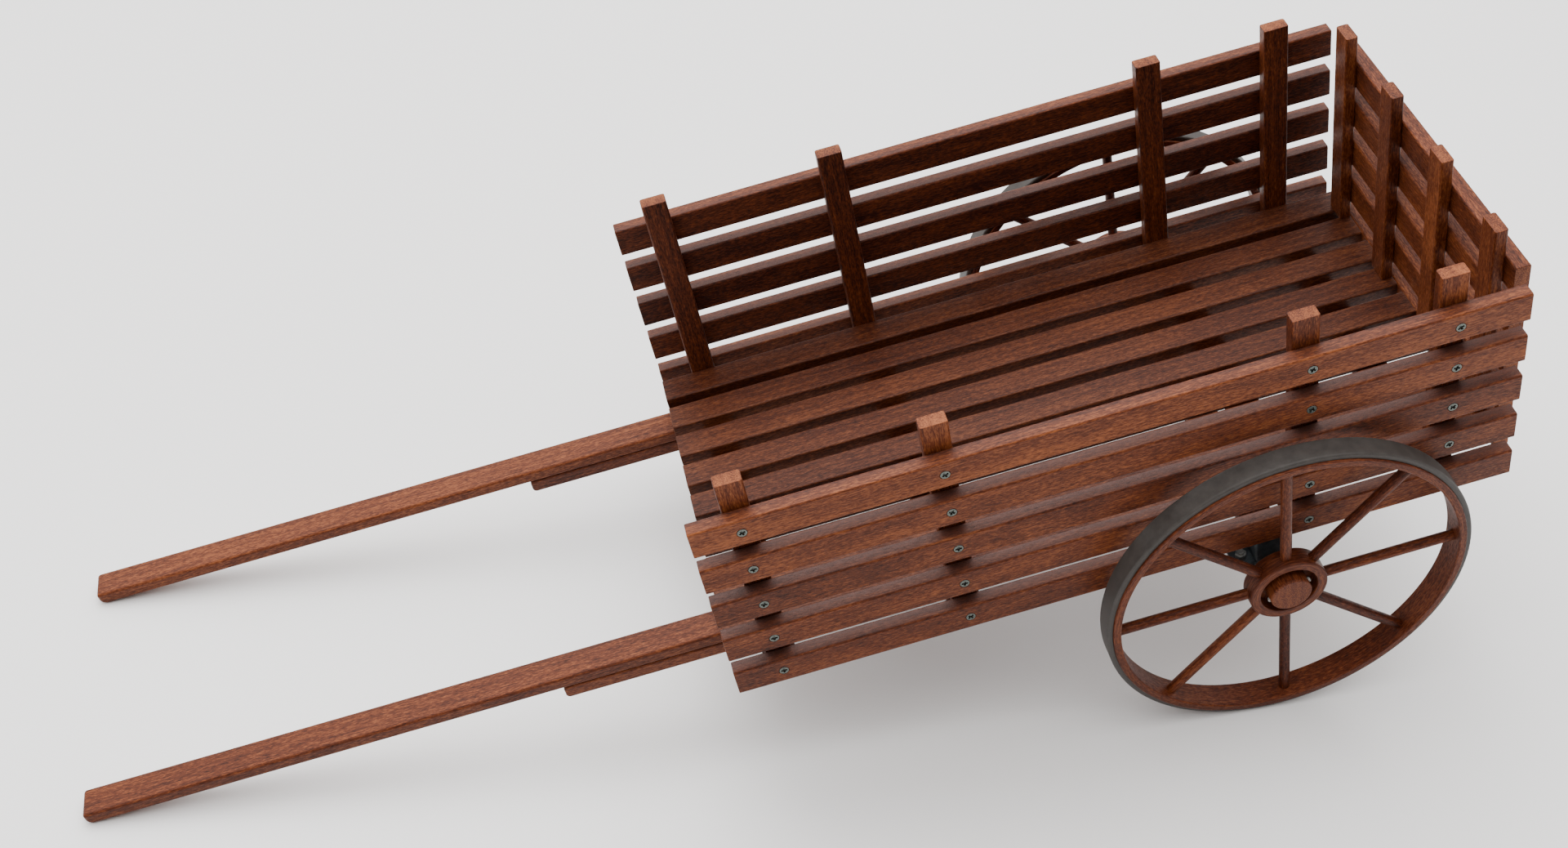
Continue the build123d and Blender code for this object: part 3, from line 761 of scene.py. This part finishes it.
class CART_OT_wheels(bpy.types.Operator):
    """Build both wheels: tyre, rim, spokes and hub"""
    bl_idname = "cart.wheels"
    bl_label = "Wheels"

    def execute(self, context):
        luck = random.Random(53)
        for side in SIDES:
            self.tyre(side)
            self.rim(side, luck)
            self.spokes(side, luck)
            self.hub(side, luck)
        return {"FINISHED"}

    def tyre(self, side):
        node = f"{side}_wheel_tyre"
        inner = radius_inside(node)
        ring = make_ring(f"{node}_band", node, inner, TYRE_ROUND, TYRE_INNER_ROUND)
        smooth(ring)
        material = bpy.data.materials.get("solid_rubber_band") or worn_rubber("solid_rubber_band")
        finish_piece(ring, [node], material)

    def rim(self, side, luck):
        node = f"{side}_wheel_rim"
        low, high = bed_span(node)
        inner = (high.x - low.x) / 2 - RIM_WALL
        ring = make_ring(f"{node}_hoop", node, inner, RIM_ROUND, RIM_INNER_ROUND)
        smooth(ring)
        finish_piece(ring, [node], wood_for(node), (bent_grain(AXLE, inner, luck), luck.uniform(-0.01, 0.03)))

    def spokes(self, side, luck):
        node = f"{side}_wheel_spokes"
        rods = []
        middle_y = sum(corner.y for corner in bed_span(node)) / 2
        radius = (bed_span(node)[1].y - bed_span(node)[0].y) / 2
        for index, part in enumerate(loose_parts(node)):
            centre = sum(part, Vector()) / len(part)
            way = Vector((centre.x - AXLE.x, 0, centre.z - AXLE.z)).normalized()
            reach = [(p - AXLE).dot(way) for p in part]
            hub_end = Vector((AXLE.x, middle_y, AXLE.z)) + way * min(reach)
            rim_end = Vector((AXLE.x, middle_y, AXLE.z)) + way * max(reach)
            rod = new_round(f"{node}_{index}", radius, hub_end, rim_end, segments=32)
            smooth(rod)
            shift = Vector((luck.uniform(0, 40), luck.uniform(0.02, 0.1), luck.uniform(-0.1, 0.1)))
            across = way.cross(Vector((0, 1, 0)))
            start = Vector((AXLE.x, middle_y, AXLE.z))

            def place(point, way=way, across=across, start=start, shift=shift):
                apart = point - start
                return (apart.dot(way) + shift.x, apart.dot(across) + shift.y, apart.y + shift.z)
            write_grain(rod, place, luck.uniform(-0.06, 0.03))
            rods.append(rod)
        finish_piece(join(rods, f"{node}_rods"), [node], wood_for(node))

    def hub(self, side, luck):
        node = f"{side}_wheel_hub"
        low, high = bed_span(node)
        outward = -1.0 if side == "right" else 1.0
        face_y, back_y = (low.y, high.y) if side == "right" else (high.y, low.y)
        radius = (high.x - low.x) / 2
        hub = new_round(f"{node}_turned", radius, Vector((AXLE.x, back_y, AXLE.z)),
                        Vector((AXLE.x, face_y, AXLE.z)))
        pick(hub, faces=lambda face: face.normal.y * outward > 0.99)
        bpy.ops.mesh.inset(thickness=radius - HUB_RECESS_RADIUS, use_even_offset=True)
        bpy.ops.mesh.extrude_region_move(
            TRANSFORM_OT_translate={"value": (0, -outward * HUB_RECESS_DEPTH, 0)})
        done()
        bevel(hub, ring_edges(radius, (face_y, back_y)), sizes().turned_edge, 5)
        bevel(hub, ring_edges(HUB_RECESS_RADIUS, (face_y,), 0.3 * MM), HUB_MOUTH_ROUND, 3)
        smooth(hub)

        def place(point):
            x, z = point.x - AXLE.x, point.z - AXLE.z
            return (math.atan2(z, x) * radius * 0.5, math.hypot(x, z), point.y)
        finish_piece(hub, [node], wood_for(node), (place, 0.03 + luck.uniform(-0.02, 0.02)))


# ---- axle, brackets and screws ----------------------------------------------------------------------------
class CART_OT_axle(bpy.types.Operator):
    """Fit the axle's caps, pins, rod, bushes and brackets"""
    bl_idname = "cart.axle"
    bl_label = "Axle and ironwork"

    def execute(self, context):
        luck = random.Random(67)
        for side in SIDES:
            self.cap(side, luck)
        self.pins()
        for node in ("axle_rod", "right_wheel_bush", "left_wheel_bush", "bracket_bolts",
                     "right_axle_bracket", "left_axle_bracket"):
            shape = frame["nodes"][node]
            shape.data.materials.clear()
            shape.data.materials.append(metal_for(SLOT_OF[node]))
        return {"FINISHED"}

    def cap(self, side, luck):
        node = f"{side}_axle_cap"
        low, high = bed_span(node)
        face_y, back_y = (low.y, high.y) if side == "right" else (high.y, low.y)
        radius = (high.x - low.x) / 2
        cap = new_round(f"{node}_turned", radius, Vector((AXLE.x, back_y, AXLE.z)),
                        Vector((AXLE.x, face_y, AXLE.z)), segments=64)
        bevel(cap, ring_edges(radius, (face_y,)), sizes().turned_edge, 5)
        smooth(cap)
        shift = Vector((luck.uniform(0, 9), luck.uniform(-0.02, 0.02), 0.0))

        def place(point):
            return (point.y + shift.x, point.x - AXLE.x + shift.y, point.z - AXLE.z)
        finish_piece(cap, [node], wood_for(node), (place, 0.04))

    def pins(self):
        pins = []
        for index, part in enumerate(loose_parts("linch_pins")):
            centre = sum(part, Vector()) / len(part)
            far = max(part, key=lambda p: (p - centre).length)
            along = Vector((far.x - centre.x, 0, far.z - centre.z)).normalized()
            middle = Vector((AXLE.x, centre.y, AXLE.z))
            half = max(abs((p - middle).dot(along)) for p in part)
            radius = (span_of(part)[1].y - span_of(part)[0].y) / 2
            # the pin's true line, from the mean of the points at one end
            end_points = [p for p in part if (p - middle).dot(along) > 0.9 * half]
            tip = sum(end_points, Vector()) / len(end_points)
            way = Vector((tip.x - AXLE.x, 0, tip.z - AXLE.z)).normalized()
            half = max(abs((p - middle).dot(way)) for p in part)
            pin = new_round(f"linch_pin_{index}", radius, middle - way * half, middle + way * half,
                            segments=24)

            def end_edge(a, b, middle=middle, way=way, half=half):
                return all(abs(abs((p - middle).dot(way)) - half) < 0.01 * MM for p in (a, b))
            bevel(pin, end_edge, radius * 0.6, 4)
            smooth(pin)
            pins.append(pin)
        finish_piece(join(pins, "linch_pins_turned"), ["linch_pins"], metal_for("bolt_steel"))


class CART_OT_screws(bpy.types.Operator):
    """Drive every screw, each with a cross recess in its head"""
    bl_idname = "cart.screws"
    bl_label = "Screws"

    def execute(self, context):
        pattern = self.pattern()
        luck = random.Random(71)
        screws = []
        for index, (head, way) in enumerate(SCREWS):
            screw = pattern.copy()
            screw.data = pattern.data.copy()
            screw.name = f"screw_{index}"
            context.collection.objects.link(screw)
            turn = way.to_track_quat("Z", "Y").to_matrix().to_4x4()
            spin = Matrix.Rotation(luck.uniform(0, math.pi / 2), 4, "Z")
            screw.data.transform(Matrix.Translation(head) @ turn @ spin)
            screws.append(screw)
        bpy.data.objects.remove(pattern)
        finish_piece(join(screws, "bed_screws_driven"), ["bed_screws"], metal_for("screw_zinc"))
        return {"FINISHED"}

    def pattern(self):
        """One screw at the origin, its head looking along +Z."""
        radius = screw_head_radius()
        head = new_round("screw_head", SCREW_SHANK, Vector((0, 0, -SCREW_HEAD_DEPTH)), Vector((0, 0, 0)), 24,
                         radius)
        pick(head, faces=lambda face: face.normal.z < -0.99)
        bpy.ops.mesh.extrude_region_move(
            TRANSFORM_OT_translate={"value": (0, 0, SCREW_HEAD_DEPTH - SCREW_LENGTH)})
        done()
        bevel(head, on_plane(2, 0.0), SCREW_RIM_ROUND, 2)
        for half in (Vector((CROSS_REACH, CROSS_HALF_WIDTH, CROSS_DEPTH)),
                     Vector((CROSS_HALF_WIDTH, CROSS_REACH, CROSS_DEPTH))):
            cut_away(head, [new_box("slot", -half, half)])
        socket = new_round("socket", SOCKET_ROOT, Vector((0, 0, -CROSS_DEPTH)), Vector((0, 0, 0.1 * MM)), 24,
                           SOCKET_MOUTH)
        cut_away(head, [socket])
        smooth(head)
        return head


# ---- the studio -------------------------------------------------------------------------------------------
def pale_floor():
    """A painted studio floor: even, matt and slightly warm."""
    material = new_material("matt_painted_floor")
    place = add_node(material, "ShaderNodeTexCoord").outputs["Object"]
    # roller stipple, about 4 mm
    stipple = add_node(material, "ShaderNodeTexNoise", {"Scale": 250.0, "Detail": 2.0}, {"Vector": place})
    bump = add_node(material, "ShaderNodeBump", {"Strength": 0.05, "Distance": 0.1 * MM},
                    {"Height": stipple.outputs["Fac"]})
    shader = add_node(material, "ShaderNodeBsdfPrincipled", {
        "Base Color": (*colours().floor, 1), "Roughness": 0.75, "Specular IOR Level": 0.2},
        {"Normal": bump.outputs[0]})
    return set_surface(material, shader)


class CART_OT_stage(bpy.types.Operator):
    """Set the floor, the soft lights and the camera"""
    bl_idname = "cart.stage"
    bl_label = "Studio"

    def execute(self, context):
        bpy.ops.object.select_all(action="DESELECT")
        bpy.ops.mesh.primitive_plane_add(size=40, location=(0, 0, -0.0005))
        floor = context.object
        floor.name = "studio_floor"
        settle(floor)
        floor.data.materials.append(pale_floor())
        self.sky()
        self.softbox("back_softbox", (-0.4, 1.6, 4.0), (0.0, 0.0, 0.2), 3.2, 90)
        self.camera()
        return {"FINISHED"}

    def sky(self):
        """Soft light from all round, strongest from high up behind the cart and warmer near the floor."""
        world = bpy.data.worlds.new("studio")
        bpy.context.scene.world = world
        world.use_nodes = True
        way = add_node(world, "ShaderNodeTexCoord").outputs["Generated"]
        towards = add_node(world, "ShaderNodeVectorMath",
                           {"operation": "DOT_PRODUCT", 1: (-0.05, 0.38, 0.92)}, {0: way})
        ramp = add_node(world, "ShaderNodeValToRGB", links={"Fac": towards.outputs["Value"]})
        set_ramp(ramp, [(0.1, linear("#c9aea4")), (0.6, linear("#ffffff"))])
        strength = add_node(world, "ShaderNodeMapRange", {
            "From Min": 0.2, "From Max": 1.0, "To Min": 0.15, "To Max": 4.2},
            {"Value": towards.outputs["Value"]})
        background = world.node_tree.nodes["Background"]
        world.node_tree.links.new(ramp.outputs["Color"], background.inputs["Color"])
        world.node_tree.links.new(strength.outputs[0], background.inputs["Strength"])

    def softbox(self, name, place, target, width, power):
        bpy.ops.object.light_add(type="AREA", location=place)
        lamp = bpy.context.object
        lamp.name = name
        lamp.data.shape = "DISK"
        lamp.data.size = width
        lamp.data.energy = power
        aim = Vector(target) - Vector(place)
        lamp.rotation_euler = aim.to_track_quat("-Z", "Y").to_euler()

    def camera(self):
        place = (-0.3401, -1.7250, 2.0248)
        turn = (46.0, -0.143, -11.96)
        bpy.ops.object.camera_add(location=place, rotation=[math.radians(angle) for angle in turn])
        camera = bpy.context.object
        camera.data.sensor_width = 36.0
        camera.data.lens = 43.466
        bpy.context.scene.camera = camera


class CART_PT_panel(bpy.types.Panel):
    """Sizes, colours and building steps of the hand cart"""
    bl_idname = "CART_PT_panel"
    bl_label = "Hand cart"
    bl_space_type = "VIEW_3D"
    bl_region_type = "UI"
    bl_category = "Hand cart"

    def draw(self, context):
        for group in (context.scene.cart_sizes, context.scene.cart_colours):
            for name in group.__annotations__:
                self.layout.prop(group, name)
        for step in STEPS:
            self.layout.operator(step.bl_idname)


STEPS = (CART_OT_floor, CART_OT_sides, CART_OT_tail, CART_OT_shafts, CART_OT_wheels, CART_OT_axle,
         CART_OT_screws, CART_OT_stage)
CLASSES = (CartSizes, CartColours, *STEPS, CART_PT_panel)


def register():
    for item in CLASSES:
        bpy.utils.register_class(item)
    bpy.types.Scene.cart_sizes = bpy.props.PointerProperty(type=CartSizes)
    bpy.types.Scene.cart_colours = bpy.props.PointerProperty(type=CartColours)


def unregister():
    del bpy.types.Scene.cart_colours
    del bpy.types.Scene.cart_sizes
    for item in reversed(CLASSES):
        bpy.utils.unregister_class(item)


def main():
    register()
    bpy.ops.cart.floor()
    bpy.ops.cart.sides()
    bpy.ops.cart.tail()
    bpy.ops.cart.shafts()
    bpy.ops.cart.wheels()
    bpy.ops.cart.axle()
    bpy.ops.cart.screws()
    bpy.ops.cart.stage()


if __name__ == "__main__":
    main()
